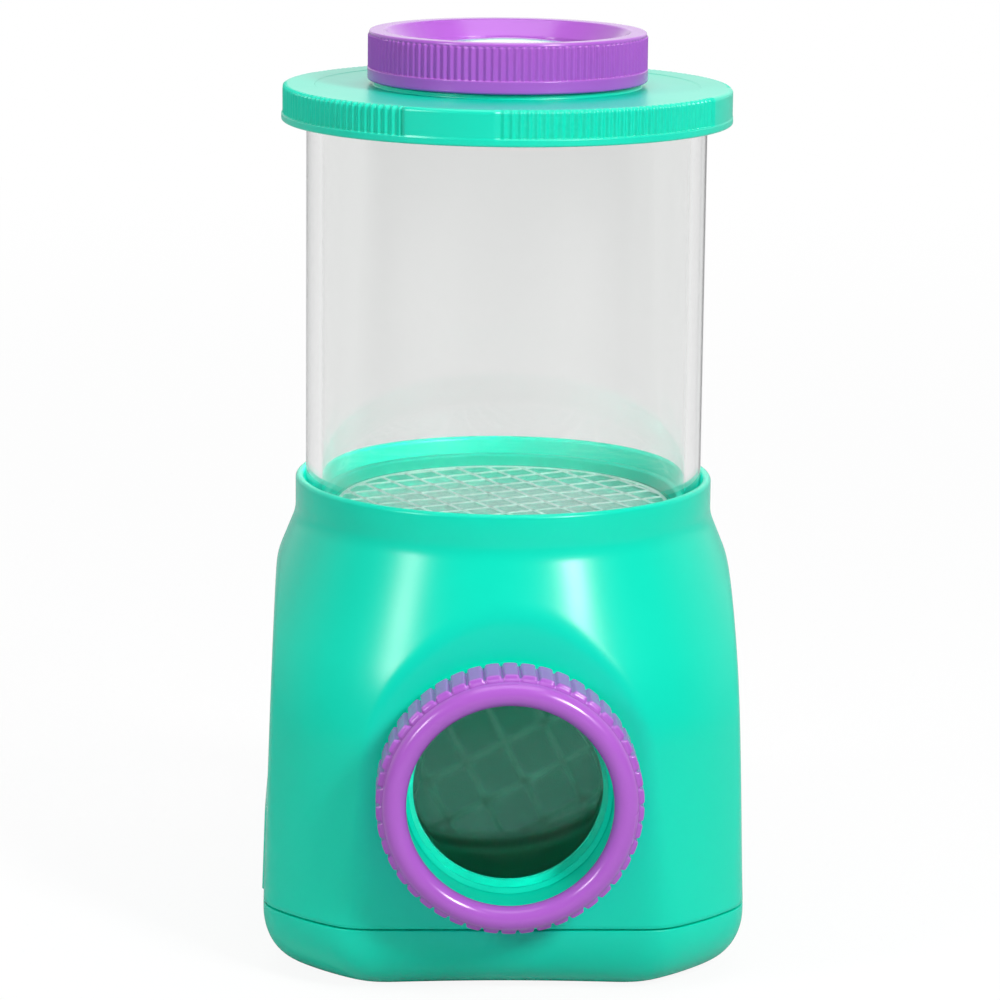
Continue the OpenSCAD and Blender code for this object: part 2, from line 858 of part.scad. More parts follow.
// The ribbed cap: outer skirt, the recess that holds the lens, and a dished top with a window
module magnifier_cap() {
    rib_z = cap_z + cap_band_h / 2;
    rib_top_z = cap_top_z - cap_edge_r;
    body_r = cap_r - cap_rib_t - rib_sink;
    color("mediumorchid")
    difference() {
        union() {
            fading_ribs(cap_r, body_r, rib_z, rib_top_z)
                ribbed_outline(cap_r, cap_rib_t, cap_ribs);
            rotate_extrude() {
                translate([0, cap_z])
                    square([cap_r + band_proud, cap_band_h]);
                difference() {
                    translate([0, cap_z])
                        square([body_r, cap_h]);
                    edge_cut(body_r, cap_top_z, cap_edge_r);
                }
            }
        }
        translate([0, 0, cap_z - cut])
            cylinder(r = cap_skirt_inner_r, h = top_retainer_z - cap_z + cut);
        translate([0, 0, cap_z - cut])
            cylinder(r = top_bore_r, h = cap_flange_z - cap_z + cut);
        translate([0, 0, cap_z])
            cylinder(r = cap_window_r, h = cap_h + cut);
        rotate_extrude()
            polygon([
                [0, cap_flange_z + cap_flange_t],
                [cap_window_r, cap_flange_z + cap_flange_t],
                [cap_mouth_r, cap_top_z],
                [cap_mouth_r, cap_top_z + cut],
                [0, cap_top_z + cut],
            ]);
    }
}

module top_lens_retainer() {
    outer = top_bore_r - lens_gap / 2;
    color("mediumorchid")
    ring(outer - top_retainer_w, outer, top_retainer_z, top_retainer_z + top_retainer_t);
}

base_housing();
bottom_pan();
pan_screws();
mirror_cradle();
cradle_screws();
mirror_glass();
port_barrel();
port_lens();
port_lens_retainer();
port_ring();
jar_tube();
floor_ring();
jar_floor();
lid_liner();
jar_lid();
top_lens();
magnifier_cap();
top_lens_retainer();
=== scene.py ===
"""Looks of the two-way bug viewer: materials, moulded detail, light and camera, around its fixed frame."""
import math

import bmesh
import bpy
from mathutils import Matrix, Vector


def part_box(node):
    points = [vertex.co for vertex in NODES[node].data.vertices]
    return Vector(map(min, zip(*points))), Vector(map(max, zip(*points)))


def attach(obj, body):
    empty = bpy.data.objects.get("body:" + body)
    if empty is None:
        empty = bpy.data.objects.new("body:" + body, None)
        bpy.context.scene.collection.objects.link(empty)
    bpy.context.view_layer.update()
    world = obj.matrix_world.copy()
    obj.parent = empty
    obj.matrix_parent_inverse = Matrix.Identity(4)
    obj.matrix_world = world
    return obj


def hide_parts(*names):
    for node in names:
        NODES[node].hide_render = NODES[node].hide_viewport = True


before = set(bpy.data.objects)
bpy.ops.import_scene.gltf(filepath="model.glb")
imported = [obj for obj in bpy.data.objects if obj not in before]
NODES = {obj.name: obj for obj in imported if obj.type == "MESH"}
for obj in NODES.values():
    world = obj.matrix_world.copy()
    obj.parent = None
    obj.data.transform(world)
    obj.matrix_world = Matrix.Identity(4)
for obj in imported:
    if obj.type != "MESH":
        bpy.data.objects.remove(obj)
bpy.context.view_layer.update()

MM = 0.001

# Sizes of the base in millimetres. Its corners and its foot are rounder than those of the solids.
BASE_W = 96.6
BASE_D = 97.8
CORNER_R = 18.0
PAN_H = 13.6
PAN_EDGE_R = 12.0
PAN_FLOOR_T = 3.0
PAN_LIP_H = 2.5
PAN_LIP_T = 1.5
LIP_GAP = 0.15
PARTING = 0.3
WALL = 2.2
DRAFT = math.tan(math.radians(1.9))
COLLAR_R = 42.3
COLLAR_WALL = 1.7
BASE_H = 95.6
NECK_H = 7.7
SHOULDER_H = 20.9
SHOULDER_LEAN = math.radians(22.3)
CURVE_R = 62.0
CORNER_LEAN = math.radians(4.3)
SEAT_Z = 86.5
LEDGE_T = 3.0
LEDGE_HOLE_R = 34.5
SIDE_PAD_W = 44.0
SIDE_PAD_H = 17.5
SIDE_PAD_R = 4.0
SIDE_PAD_PROUD = 0.4
POST_XY = 32.0
POST_R = 4.0
POST_BORE_R = 1.6
POST_H = 14.0
POST_BORE_SHARE = 0.65
HEAD_HOLE_R = 3.1
HEAD_HOLE_T = 2.0
CRADLE_SCREW_X = 15.0
CRADLE_SCREW_Y = 10.0
POST_PLACES = [(sx * POST_XY, sy * POST_XY) for sx in (-1, 1) for sy in (-1, 1)]
CRADLE_PLACES = [(sx * CRADLE_SCREW_X, CRADLE_SCREW_Y) for sx in (-1, 1)]
WEB_T = 1.8
WEB_RISE = 4
WEB_DROP = 0.4
SEAM_BEVEL = 0.2
SEAT_BEVEL = 0.2
LEDGE_BEVEL = 0.3
LEDGE_GAP = 0.6
KNEE_REACH = 2.6
KNEE_CLEAR = 3
WALL_STEP = 0.8
KNEE_STEP = 0.4
INNER_STEP = 3.0
RIM_STEPS = 12
FOOT_STEPS = 24
BASE_COLUMNS = 720

# Sizes of the port, as distances from the jar's axis or radii round the port's axis
PORT_Z = 42.0
PORT_BACK = 49.2
PORT_RING_R = 26.0
PORT_HOLE_R = 20.1
PORT_BEAD_R = 2.35
PORT_REACH = 62.4
PORT_PADS = 46
PORT_GROOVE_T = 0.6
PORT_GROOVE_HALF_W = 0.15
PORT_GROOVE_SIDE_W = 0.4
PORT_PAD_CROWN = 0.16
PORT_BORE_R = 22.9
PORT_SHELF = 59.3
SEAT_RING_R = 25.4
SEAT_RING_FRONT = 49.1
HOLE_R = 22.75
HOLE_BACK = 40.0
HOLE_FRONT = 60.0
PORT_LENS_R = 20.25
PORT_LENS_DOME_R = 18.35
PORT_LENS_FRONT = 49.0
PORT_LENS_EDGE = 2.0
PORT_LENS_RISES = (1.5, 1.5)

# Sizes of the jar, its lid and its magnifier cap
JAR_R = 40.2
RING_Z = 86.6
RING_FLANGE_T = 2.0
SPIGOT_R = 36.85
SPIGOT_H = 4.1
FLOOR_R = 35.15
FLOOR_LIP_W = 1.7
FLOOR_LIP_T = 1.7
FLOOR_TOP_Z = 90.3
LID_R = 45.0
LID_Z = 167.7
LID_TOP_Z = 174.8
LID_UNDER_Z = 172.6
LID_BAND_H = 1.3
LID_SKIRT_R = 43.2
LID_SEAT_R = 26.8
LID_SEAT_H = 0.9
LID_NECK_R = 24.4
LID_NECK_WALL = 1.3
LID_NECK_H = 2.0
LID_WINDOW_R = 21.6
LID_RIBS = 32
LID_PANEL = math.radians(24.6)
LID_PANEL_TURN = math.radians(-16)
LID_PANEL_PROUD = 0.15
LID_RIB_T = 0.5
LID_FIELD_R = LID_R * 0.86
LID_FIELD_T = 0.12
CAP_R = 28.0
CAP_Z = 175.8
CAP_TOP_Z = 185.7
CAP_BAND_H = 2.4
CAP_LIP_R = 27.75
CAP_MOUTH_R = 24.6
CAP_WINDOW_R = 21.4
CAP_DISH_Z = 182.5
CAP_FLANGE_Z = 181.3
CAP_LENS_BORE_R = 22.7
CAP_RECESS_Z = 178.1
CAP_SKIRT_R = 26.0
TOP_LENS_R = 22.4
TOP_LENS_DOME_R = 20.9
TOP_LENS_Z = 179.4
TOP_LENS_EDGE = 1.8
TOP_LENS_RISES = (2.7, 1.3)
CAP_RIBS = 120
CAP_RIB_T = 0.42
BAND_PROUD = 0.1

# Threads of the jar and the lid
THREAD_Z = 168.4
THREAD_W = 1.1
THREAD_PITCH = 1.35
THREAD_TURNS = 1.3
JAR_THREAD_OUT = 1.4
JAR_THREAD_START = 0.4
LID_THREAD_OUT = -1.3
LID_THREAD_START = 2.4

# Screws
SCREW_HEAD_R = 2.8
SCREW_HEAD_H = 1.8
SCREW_SHANK_R = 1.5
SCREW_TIP_R = 0.3
SCREW_TIP_H = 0.8
SCREW_CROWN = 0.25
CROSS_HALF_W = 0.35
CROSS_REACH = SCREW_HEAD_R * 0.55
CROSS_T = 0.8
PAN_SCREW_L = 18
CRADLE_SCREW_L = 7

# Grid on the jar's floor
GRID_PITCH = 6.35
GRID_LINE_W = 0.75
GRID_LINE_T = 0.14
GRID_TURN = math.radians(27)
GRID_REACH = 33.4
GRID_RIM_HALF_W = 0.4

# Colours are linear.
TEAL = (0.0, 0.64, 0.44, 1)
TEAL_DEEP = (0.0, 0.53, 0.36, 1)
# The seat ring's teal is a darker copy of the teal plastic: painted shade for the dim light inside the jar.
TEAL_SHADED_SEAT = (0.0, 0.43, 0.29, 1)
TEAL_SHADED_SEAT_DEEP = (0.0, 0.39, 0.265, 1)
PURPLE = (0.38, 0.10, 0.53, 1)
PURPLE_DEEP = (0.31, 0.075, 0.44, 1)
CLEAR = (0.88, 0.885, 0.88, 1)
LENS = (0.95, 0.98, 0.965, 1)


class Mat:
    """A material with its Principled shader, and short ways to add and link nodes."""

    def __init__(self, name):
        self.mat = bpy.data.materials.new(name)
        self.mat.use_nodes = True
        self.tree = self.mat.node_tree
        self.bsdf = next(n for n in self.tree.nodes if n.type == "BSDF_PRINCIPLED")

    def node(self, kind):
        return self.tree.nodes.new(kind)

    def link(self, a, b):
        self.tree.links.new(a, b)

    def set(self, **values):
        for key, value in values.items():
            self.bsdf.inputs[key.replace("_", " ")].default_value = value

    def coords(self, stretch=(1, 1, 1)):
        mapping = self.node("ShaderNodeMapping")
        mapping.inputs["Scale"].default_value = stretch
        self.link(self.node("ShaderNodeTexCoord").outputs["Object"], mapping.inputs["Vector"])
        return mapping.outputs["Vector"]

    def noise(self, scale, detail=3.0, rough=0.5, stretch=(1, 1, 1)):
        n = self.node("ShaderNodeTexNoise")
        n.inputs["Scale"].default_value = scale
        n.inputs["Detail"].default_value = detail
        n.inputs["Roughness"].default_value = rough
        self.link(self.coords(stretch), n.inputs["Vector"])
        return n.outputs["Fac"]

    def ramp(self, source, stops):
        r = self.node("ShaderNodeValToRGB")
        while len(r.color_ramp.elements) < len(stops):
            r.color_ramp.elements.new(0.5)
        for e, (pos, col) in zip(r.color_ramp.elements, stops):
            e.position = pos
            e.color = col
        self.link(source, r.inputs["Fac"])
        return r.outputs["Color"]

    def rerange(self, source, low, high, start=0.0, end=1.0):
        m = self.node("ShaderNodeMapRange")
        m.inputs["From Min"].default_value = start
        m.inputs["From Max"].default_value = end
        m.inputs["To Min"].default_value = low
        m.inputs["To Max"].default_value = high
        self.link(source, m.inputs["Value"])
        return m.outputs["Result"]

    def sum(self, a, b, how="ADD"):
        m = self.node("ShaderNodeMath")
        m.operation = how
        self.link(a, m.inputs[0])
        self.link(b, m.inputs[1])
        return m.outputs[0]

    def scratches(self, low, high):
        """Sparse thin scuffs: the crests of a stretched noise, kept only inside large clouds."""
        streaks = self.rerange(self.noise(90.0, 2.0, 0.5, (1, 1, 0.12)), 0.0, 1.0, low, high)
        clouds = self.rerange(self.noise(22.0, 2.0), 0.0, 1.0, 0.55, 0.68)
        return self.sum(streaks, clouds, "MULTIPLY")

    def bump(self, source, strength, distance):
        b = self.node("ShaderNodeBump")
        b.inputs["Strength"].default_value = strength
        b.inputs["Distance"].default_value = distance
        self.link(source, b.inputs["Height"])
        self.link(b.outputs["Normal"], self.bsdf.inputs["Normal"])


def mix(a, b, t):
    return tuple(x + (y - x) * t for x, y in zip(a, b))


def plastic(name, colour, deep, rough, scuffs=0.0, shine=0.5):
    """Moulded plastic: faint clouds of colour and gloss, a fine moulded grain and a few scuffs."""
    m = Mat(name)
    clouds = m.ramp(m.noise(28.0, 4.0, 0.6), [(0.3, mix(colour, deep, 0.25)), (0.7, colour)])
    m.link(clouds, m.bsdf.inputs["Base Color"])
    gloss = m.rerange(m.noise(60.0, 3.0), rough - 0.03, rough + 0.04)
    if scuffs:
        gloss = m.sum(gloss, m.rerange(m.scratches(0.66, 0.72), 0.0, scuffs))
    m.link(gloss, m.bsdf.inputs["Roughness"])
    m.bump(m.noise(900.0, 2.0), 0.06, 0.00005)
    m.set(IOR=1.5, Specular_IOR_Level=shine)
    return m.mat


def clear(name, tint, rough, ior=1.49, wave=0.04, clearness=1.0):
    """Clear plastic with faint waves. A lower clearness gives it a share of matt colour."""
    m = Mat(name)
    m.set(Base_Color=tint, IOR=ior, Transmission_Weight=clearness)
    m.link(m.rerange(m.noise(45.0, 3.0), rough * 0.4, rough * 1.6), m.bsdf.inputs["Roughness"])
    m.bump(m.noise(14.0, 2.0), wave, 0.0004)
    return m.mat


def metal(name, colour, rough):
    m = Mat(name)
    m.set(Base_Color=colour, Metallic=1.0)
    m.link(m.rerange(m.noise(400.0, 3.0), rough - 0.05, rough + 0.1), m.bsdf.inputs["Roughness"])
    return m.mat


def matte(name, colour, deep, rough):
    m = Mat(name)
    m.link(m.ramp(m.noise(80.0, 4.0), [(0.3, deep), (0.7, colour)]), m.bsdf.inputs["Base Color"])
    m.link(m.rerange(m.noise(200.0), rough - 0.05, rough + 0.05), m.bsdf.inputs["Roughness"])
    m.bump(m.noise(700.0), 0.15, 0.0001)
    return m.mat


def mirror_painted_shade(name):
    m = Mat(name)
    # Painted shade: the dark grey-green colour stands in for the dim, teal-lit inside of the jar that the
    # mirror shows.
    m.set(Base_Color=(0.42, 0.52, 0.46, 1), Metallic=1.0)
    m.link(m.rerange(m.noise(30.0, 4.0), 0.03, 0.08), m.bsdf.inputs["Roughness"])
    m.bump(m.noise(26.0, 1.0), 0.10, 0.0004)
    return m.mat


MATS = {
    "teal": plastic("teal_plastic", TEAL, TEAL_DEEP, rough=0.25, scuffs=0.12, shine=0.28),
    "lid": plastic("teal_lid_plastic", TEAL, TEAL_DEEP, rough=0.30, shine=0.5),
    # The seat ring's darker teal is painted shade for the dim light inside the jar.
    "seat": plastic("teal_seat_shaded_plastic", TEAL_SHADED_SEAT, TEAL_SHADED_SEAT_DEEP, rough=0.40, shine=0.12),
    "purple": plastic("purple_plastic", PURPLE, PURPLE_DEEP, rough=0.20, scuffs=0.08),
    "tube": clear("clear_tube_plastic", CLEAR, 0.02),
    # The jar floor's strong teal tint is partly the plastic's own pale tint and partly painted light,
    # standing in for the teal light from the housing below it.
    "floor": clear("clear_floor_plastic", (0.38, 0.98, 0.84, 1), 0.16, clearness=0.9),
    "grid": clear("frosted_grid", (0.80, 1.0, 0.94, 1), 0.4, clearness=0.6),
    "lens": clear("lens_plastic", LENS, 0.008, wave=0.01),
    "port_lens": clear("port_lens_plastic", LENS, 0.008, ior=1.2, wave=0.01),
    "steel": metal("screw_steel", (0.55, 0.56, 0.58, 1), 0.3),
    "cradle": matte("cradle_plastic", (0.05, 0.055, 0.055, 1), (0.03, 0.035, 0.035, 1), 0.55),
    "foam": matte("liner_foam", (0.85, 0.85, 0.82, 1), (0.75, 0.75, 0.72, 1), 0.8),
    "mirror": mirror_painted_shade("mirror_painted_shade"),
}


# Mesh helpers work in millimetres and hand back an object in metres

FILLET_STEPS = 4
POST_COLUMNS = 48
ROUND_COLUMNS = 192
SCREW_HOLE_COLUMNS = 64
LENS_RINGS = 20
THREAD_COLUMNS = 96


def build(name, verts, faces, material):
    mesh = bpy.data.meshes.new(name)
    mesh.from_pydata([Vector(v) * MM for v in verts], [], faces)
    bm = bmesh.new()
    bm.from_mesh(mesh)
    bmesh.ops.recalc_face_normals(bm, faces=bm.faces)
    bm.to_mesh(mesh)
    bm.free()
    mesh.shade_smooth()
    mesh.materials.append(MATS[material])
    obj = bpy.data.objects.new(name, mesh)
    bpy.context.scene.collection.objects.link(obj)
    return obj


def ring_faces(rings, count, close=True):
    """Faces between closed loops of points, each loop joined to the next and the last to the first."""
    faces = []
    for i in range(rings if close else rings - 1):
        a = i * count
        b = (i + 1) % rings * count
        for k in range(count):
            n = (k + 1) % count
            faces.append((a + k, a + n, b + n, b + k))
    return faces


def stack_faces(rings, count):
    """Faces of a stack of loops, with one face over each end."""
    faces = ring_faces(rings, count, close=False)
    faces.append(tuple(range(count)))
    faces.append(tuple(range((rings - 1) * count, rings * count)))
    return faces


def rounded(corners, support=0.12):
    """A closed profile from corners of (radius, height, fillet, weight), each fillet drawn as an arc.

    The points beside an arc keep the flats next to it evenly lit."""
    points = []
    for i, (r, z, fillet, weight) in enumerate(corners):
        here = Vector((r, z))
        if fillet == 0:
            points.append((r, z, weight))
            continue
        a = (Vector(corners[i - 1][:2]) - here).normalized()
        b = (Vector(corners[(i + 1) % len(corners)][:2]) - here).normalized()
        half = a.angle(b) / 2
        centre = here + (a + b).normalized() * (fillet / math.sin(half))
        leave = fillet / math.tan(half)
        va = here + a * leave - centre
        vb = here + b * leave - centre
        sweep = va.angle(vb)
        points.append((*(here + a * (leave + support)), weight))
        for k in range(FILLET_STEPS + 1):
            t = k / FILLET_STEPS
            p = centre + (va * math.sin((1 - t) * sweep) + vb * math.sin(t * sweep)) / math.sin(sweep)
            points.append((*p, weight))
        points.append((*(here + b * (leave + support)), weight))
    return points


def even(count):
    return [2 * math.pi * k / count for k in range(count)]


def upright(r, angle, z):
    """A point round the jar's axis."""
    return (r * math.cos(angle), r * math.sin(angle), z)


def upright_at(cx, cy):
    """Places points round an upright axis at (cx, cy)."""
    return lambda r, angle, z: (cx + r * math.cos(angle), cy + r * math.sin(angle), z)


def on_port(r, angle, out):
    """A point round the port's axis, at a distance out from the jar's axis."""
    return (r * math.cos(angle), -out, PORT_Z + r * math.sin(angle))


def turned(name, profile, material, angles, depth=None, place=upright):
    """A closed ring turned from a profile of (radius, height, weight). depth(angle) is cut in by weight."""
    cuts = [depth(a) if depth else 0.0 for a in angles]
    verts = [place(r - w * cut, a, z) for r, z, w in profile for a, cut in zip(angles, cuts)]
    return build(name, verts, ring_faces(len(profile), len(angles)), material)


def join(name, objects):
    """One object from several, with the first one's place."""
    bm = bmesh.new()
    for o in objects:
        bm.from_mesh(o.data)
    mesh = objects[0].data
    bm.to_mesh(mesh)
    bm.free()
    for o in objects[1:]:
        bpy.data.objects.remove(o)
    objects[0].name = name
    return objects[0]


def ease(t):
    t = min(max(t, 0.0), 1.0)
    return t * t * (3 - 2 * t)


def soft_min(a, b, k):
    h = max(k - abs(a - b), 0.0) / k
    return min(a, b) - h * h * k / 4


# The base housing: a round bell cut by four leaning flats, on a polar grid

NECK_Z = BASE_H - NECK_H
SHOULDER_Z = NECK_Z - SHOULDER_H
SHOULDER_R = COLLAR_R + SHOULDER_H * math.tan(SHOULDER_LEAN)
CORNER_Z = SHOULDER_Z - CURVE_R * (math.sin(SHOULDER_LEAN) - math.sin(CORNER_LEAN))
CORNER_BELL_R = SHOULDER_R + CURVE_R * (math.cos(CORNER_LEAN) - math.cos(SHOULDER_LEAN))
HOUSING_Z = PAN_H + PARTING / 2
KNEE_SOFT = 0.7
ARCH_SOFT = 1.0
FOOT_SOFT = 2.4
FOOT_SOFT_H = 30
PAD_EDGE = 0.7


def bell_radius(z):
    """Radius of the round collar, shoulder and corners at a height."""
    if z < CORNER_Z:
        return CORNER_BELL_R + (CORNER_Z - z) * math.tan(CORNER_LEAN)
    if z < SHOULDER_Z:
        curve_z = SHOULDER_Z - CURVE_R * math.sin(SHOULDER_LEAN)
        curve_x = SHOULDER_R - CURVE_R * math.cos(SHOULDER_LEAN)
        return curve_x + math.sqrt(CURVE_R ** 2 - (z - curve_z) ** 2)
    slope = COLLAR_R + (NECK_Z - z) * math.tan(SHOULDER_LEAN)
    return -soft_min(-COLLAR_R, -slope, KNEE_SOFT)


def flats_radius(angle, z):
    """Distance from the axis to the drafted block's side, with its round corners, along an angle."""
    c = abs(math.cos(angle))
    s = abs(math.sin(angle))
    r = CORNER_R - (z - PAN_H) * DRAFT
    cx = BASE_W / 2 - CORNER_R
    cy = BASE_D / 2 - CORNER_R
    if c > 0 and (cx + r) / c * s <= cy:
        return (cx + r) / c
    if s > 0 and (cy + r) / s * c <= cx:
        return (cy + r) / s
    along = cx * c + cy * s
    return along + math.sqrt(max(r * r - (cx * cx + cy * cy - along * along), 0.0))


def side_pad(angle, z):
    """How far the low pad on a side flat stands out, along an angle."""
    c = abs(math.cos(angle))
    if c < 0.5:
        return 0.0
    y = abs(flats_radius(angle, z) * math.sin(angle))
    dx = y - (SIDE_PAD_W / 2 - SIDE_PAD_R)
    dz = z - HOUSING_Z - (SIDE_PAD_H - SIDE_PAD_R)
    edge = math.hypot(max(dx, 0.0), max(dz, 0.0)) + min(max(dx, dz), 0.0) - SIDE_PAD_R
    return SIDE_PAD_PROUD / c * ease(0.5 - edge / PAD_EDGE)


def side_radius(angle, z):
    """Distance from the axis to the base's outside, along an angle."""
    soft = ARCH_SOFT + (FOOT_SOFT - ARCH_SOFT) * (1 - ease((z - PAN_H) / FOOT_SOFT_H))
    return soft_min(bell_radius(z), flats_radius(angle, z), soft)


def steps_between(low, high, step):
    count = max(1, round((high - low) / step))
    return [low + (high - low) * k / count for k in range(count + 1)]


def housing_shell():
    """The bell with its flats, side pads, rolled rim, ledge for the jar and inner wall, from the seam up."""
    angles = even(BASE_COLUMNS)
    rings = []
    low = HOUSING_Z + SEAM_BEVEL
    for z in (HOUSING_Z, HOUSING_Z + SEAM_BEVEL / 2, *steps_between(low, NECK_Z - KNEE_CLEAR, WALL_STEP)):
        inset = SEAM_BEVEL * (1 - ease((z - HOUSING_Z) / SEAM_BEVEL))
        rings.append([(side_radius(a, z) + side_pad(a, z) - inset, z) for a in angles])
    for z in steps_between(NECK_Z - KNEE_REACH, NECK_Z + KNEE_REACH, KNEE_STEP):
        rings.append([(bell_radius(z), z)] * len(angles))
    rim = COLLAR_WALL / 2
    for k in range(RIM_STEPS + 1):
        t = math.pi * k / RIM_STEPS
        rings.append([(COLLAR_R - rim + rim * math.cos(t), BASE_H - rim + rim * math.sin(t))] * len(angles))
    bore = COLLAR_R - COLLAR_WALL
    ledge_z = SEAT_Z - LEDGE_T
    inside = side_radius(0, ledge_z) - WALL
    for r, z in (
        (bore, SEAT_Z + SEAT_BEVEL),
        (bore - SEAT_BEVEL, SEAT_Z),
        (LEDGE_HOLE_R + LEDGE_BEVEL, SEAT_Z),
        (LEDGE_HOLE_R, SEAT_Z - LEDGE_BEVEL),
        (LEDGE_HOLE_R, ledge_z + LEDGE_BEVEL),
        (LEDGE_HOLE_R + LEDGE_BEVEL, ledge_z),
        (inside - LEDGE_GAP, ledge_z),
    ):
        rings.append([(r, z)] * len(angles))
    for z in reversed(steps_between(HOUSING_Z, ledge_z - LEDGE_GAP, INNER_STEP)):
        rings.append([(min(bell_radius(z), flats_radius(a, z)) - WALL, z) for a in angles])
    verts = [upright(r, a, z) for ring in rings for (r, z), a in zip(ring, angles)]
    return build("housing_shell", verts, ring_faces(len(rings), len(angles)), "teal")


def carve(obj, cutter):
    """Cuts one closed object out of another and removes the cutter."""
    cut = obj.modifiers.new("carve", "BOOLEAN")
    cut.operation = "DIFFERENCE"
    cut.solver = "EXACT"
    cut.object = cutter
    done = bpy.data.meshes.new_from_object(obj.evaluated_get(bpy.context.evaluated_depsgraph_get()))
    obj.modifiers.clear()
    obj.data = done
    bpy.data.objects.remove(cutter)


def port_cutter():
    """A plain closed rod along the port's axis, through the front wall."""
    verts = [on_port(HOLE_R, a, out) for out in (HOLE_BACK, HOLE_FRONT) for a in even(ROUND_COLUMNS)]
    return build("port_cutter", verts, stack_faces(2, ROUND_COLUMNS), "teal")


def box_piece(name, low, high, turn, material):
    """A closed box with a small chamfer, turned about the jar's axis."""
    mesh = bpy.data.meshes.new(name)
    bm = bmesh.new()
    bmesh.ops.create_cube(bm, size=1)
    size = Vector(high) - Vector(low)
    middle = (Vector(high) + Vector(low)) / 2
    spread = Matrix.Diagonal((*(size * MM), 1))
    place = Matrix.Rotation(turn, 4, "Z") @ Matrix.Translation(middle * MM) @ spread
    bmesh.ops.transform(bm, verts=bm.verts, matrix=place)
    bmesh.ops.bevel(bm, geom=bm.edges, offset=min(size) * 0.2 * MM, segments=2, affect="EDGES")
    bm.to_mesh(mesh)
    bm.free()
    mesh.materials.append(MATS[material])
    obj = bpy.data.objects.new(name, mesh)
    bpy.context.scene.collection.objects.link(obj)
    return obj


def corner_post(sx, sy):
    """A screw post with its blind bore, at one corner."""
    top = PAN_H + POST_H
    floor = PAN_H + POST_H * POST_BORE_SHARE
    profile = rounded([
        (POST_BORE_R, HOUSING_Z, 0.0, 0),
        (POST_R, HOUSING_Z, 0.2, 0),
        (POST_R, top, 0.3, 0),
        (0.01, top, 0.0, 0),
        (0.01, floor, 0.0, 0),
        (POST_BORE_R, floor, 0.0, 0),
    ])
    place = upright_at(sx * POST_XY, sy * POST_XY)
    return turned("corner_post", profile, "teal", even(POST_COLUMNS), place=place)


def make_housing():
    shell = housing_shell()
    carve(shell, port_cutter())
    seat = turned("port_seat", rounded([
        (HOLE_R, SEAT_RING_FRONT - WALL, 0.0, 0), (SEAT_RING_R, SEAT_RING_FRONT - WALL, 0.2, 0),
        (SEAT_RING_R, SEAT_RING_FRONT, 0.3, 0), (HOLE_R, SEAT_RING_FRONT, 0.2, 0),
    ]), "teal", even(ROUND_COLUMNS), place=on_port)
    extras = [seat]
    post_out = POST_XY * math.sqrt(2)
    wall_in = side_radius(math.pi / 4, PAN_H + POST_H) - WALL
    web_low = (post_out + POST_R / 2, -WEB_T / 2, HOUSING_Z + WEB_RISE)
    web_high = (wall_in, WEB_T / 2, PAN_H + POST_H - WEB_DROP)
    for k, (sx, sy) in enumerate(((1, 1), (-1, 1), (-1, -1), (1, -1))):
        extras.append(corner_post(sx, sy))
        extras.append(box_piece("corner_web", web_low, web_high, math.pi / 4 + k * math.pi / 2, "teal"))
    whole = join("moulded_housing", [shell, *extras])
    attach(whole, "base")
    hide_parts("base_housing")


def pan_shell():
    """The tray under the housing: round lower edge, flat underside, floor, inner wall and lip."""
    angles = even(BASE_COLUMNS)
    plan = [side_radius(a, PAN_H) for a in angles]
    top = PAN_H - PARTING / 2
    lip_out = WALL + LIP_GAP
    lip_in = lip_out + PAN_LIP_T
    rings = []

    def row(inset, z):
        rings.append([(r - inset, z) for r in plan])

    for k in range(5):
        t = math.pi / 2 * k / 4
        row(SEAM_BEVEL * (1 - math.sin(t)), top - SEAM_BEVEL * (1 - math.cos(t)))
    for k in range(FOOT_STEPS + 1):
        t = math.pi / 2 * k / FOOT_STEPS
        row(PAN_EDGE_R * (1 - math.cos(t)), PAN_EDGE_R * (1 - math.sin(t)))
    for share in (0.9, 0.5, 0.1):
        rings.append([((r - PAN_EDGE_R) * share, 0) for r in plan])
    for share in (0.1, 0.5, 0.9):
        rings.append([((r - PAN_EDGE_R) * share, PAN_FLOOR_T) for r in plan])
    inner_r = PAN_EDGE_R - WALL
    highest = math.asin((top - PAN_LIP_H - PAN_FLOOR_T) / inner_r - 1)
    for k in range(RIM_STEPS + 1):
        t = highest * k / RIM_STEPS - math.pi / 2 * (RIM_STEPS - k) / RIM_STEPS
        row(PAN_EDGE_R - inner_r * math.cos(t), PAN_FLOOR_T + inner_r * (1 + math.sin(t)))
    row(lip_in, top - PAN_LIP_H)
    row(lip_in, top + PAN_LIP_H - SEAM_BEVEL)
    row(lip_in - SEAM_BEVEL, top + PAN_LIP_H)
    row(lip_out + SEAM_BEVEL, top + PAN_LIP_H)
    row(lip_out, top + PAN_LIP_H - SEAM_BEVEL)
    row(lip_out, top)
    verts = [upright(r, a, z) for ring in rings for (r, z), a in zip(ring, angles)]
    faces = ring_faces(len(rings), len(angles))
    return rings, verts, faces


